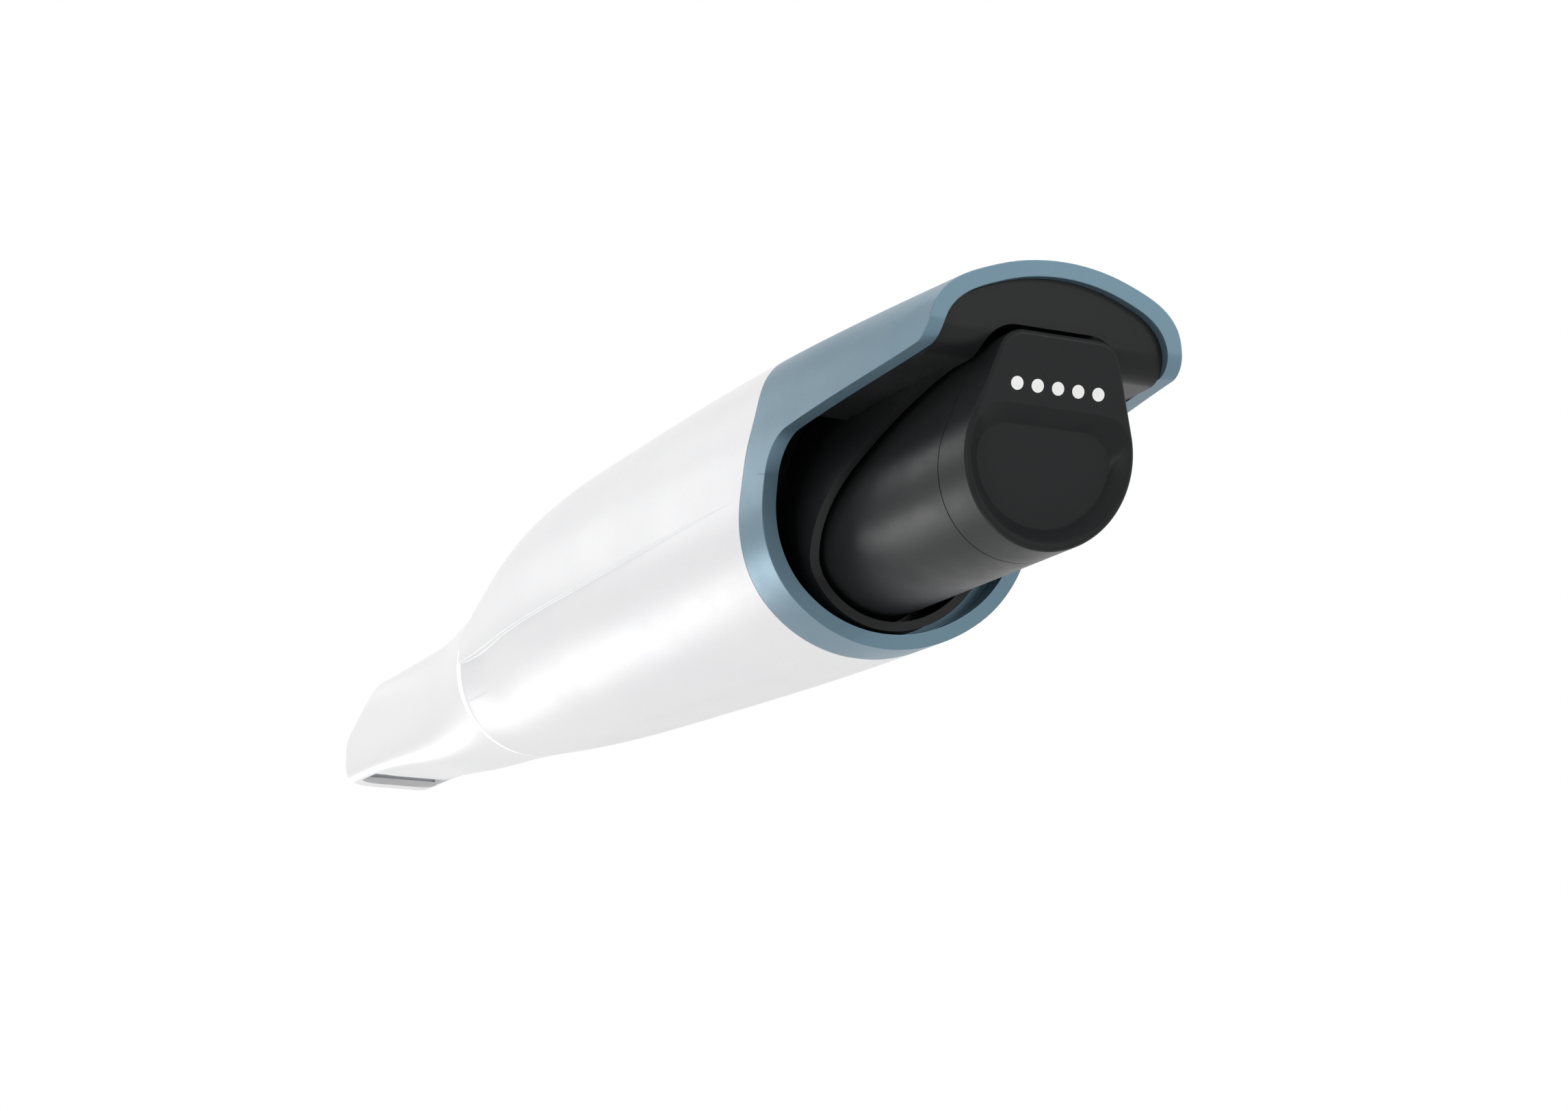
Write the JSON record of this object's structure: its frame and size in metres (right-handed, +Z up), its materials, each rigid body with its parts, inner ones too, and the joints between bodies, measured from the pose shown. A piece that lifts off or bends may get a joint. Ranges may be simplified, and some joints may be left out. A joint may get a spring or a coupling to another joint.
{
  "type": "intraoral scanner",
  "caption": "Wireless intraoral scanner: white handle, metal hooded collar, pull-out battery, and a slim removable tip with a scanning window and mirror.",
  "frame": {"origin": "on the ground under the middle of the scanner lying on its keel", "axes": "+X along the handle towards the scanning tip, +Y to the left, +Z up through the button"},
  "size_m": [0.2672, 0.0396, 0.0437],
  "materials": {
    "collar_metal": "satin anodised, blue-grey",
    "shell_white": "smooth white moulding",
    "tip_white": "smooth white moulding, fit for steam",
    "ring_diffuser": "milky light guide",
    "bay_black": "fine satin moulding",
    "battery_black": "fine satin moulding",
    "contact_silver": "bright plating",
    "contact_gold": "gold plating",
    "cell_wrap": "lithium cell in a printed-free wrap",
    "circuit_board": "solder mask",
    "button_grey": "soft satin",
    "switch_black": "moulded",
    "nose_metal": "fine turned, clear anodised",
    "lens_glass": "coated optical glass",
    "seal_rubber": "silicone",
    "mirror_silver": "front-coated mirror",
    "chassis_metal": "die-cast, blasted",
    "rod_steel": "ground",
    "barrel_black": "black anodised",
    "sensor_dark": "covered sensor",
    "chip_black": "epoxy",
    "shield_metal": "tinned can"
  },
  "bodies": {
    "handle": {"collar": "collar_metal", "upper_shell": "shell_white", "lower_shell": "shell_white", "neck_ring": "ring_diffuser", "bay_housing": "bay_black", "terminal_board": "circuit_board", "bay_pins": "contact_gold", "button_light_ring": "ring_diffuser", "button_switch": "switch_black", "nose_tube": "nose_metal", "nose_window": "lens_glass", "tip_seal": "seal_rubber", "optical_chassis": "chassis_metal", "guide_rods": "rod_steel", "lens_barrel": "barrel_black", "objective_lens": "lens_glass", "focus_magnet": "rod_steel", "beam_splitter": "lens_glass", "sensor_board": "circuit_board", "image_sensor": "sensor_dark", "light_holder": "barrel_black", "collimator_lens": "lens_glass", "light_board": "circuit_board", "main_board": "circuit_board", "image_processor": "chip_black", "radio_shield": "shield_metal", "chassis_screws": "rod_steel", "board_screws": "rod_steel"},
    "battery": {"battery_case": "battery_black", "battery_end_cap": "battery_black", "battery_contacts": "contact_silver", "battery_cell": "cell_wrap", "battery_board": "circuit_board"},
    "button": {"scan_button": "button_grey"},
    "tip": {"tip_sleeve": "tip_white", "tip_mirror": "mirror_silver"},
    "focus": {"focus_carriage": "barrel_black", "focus_lens": "lens_glass"}
  },
  "joints": [
    {"name": "battery_slide", "type": "slide", "parent": "handle", "child": "battery", "axis": [-1, 0, 0], "range_m": [0, 0.085]},
    {"name": "tip_slide", "type": "slide", "parent": "handle", "child": "tip", "axis": [1, 0, 0], "range_m": [0, 0.06]},
    {"name": "button_press", "type": "slide", "parent": "handle", "child": "button", "axis": [0, 0, -1], "range_m": [0, 0.0005], "stiffness_N_per_m": 4000},
    {"name": "focus_slide", "type": "slide", "parent": "handle", "child": "focus", "axis": [1, 0, 0], "range_m": [-0.002, 0.002], "stiffness_N_per_m": 200}
  ]
}
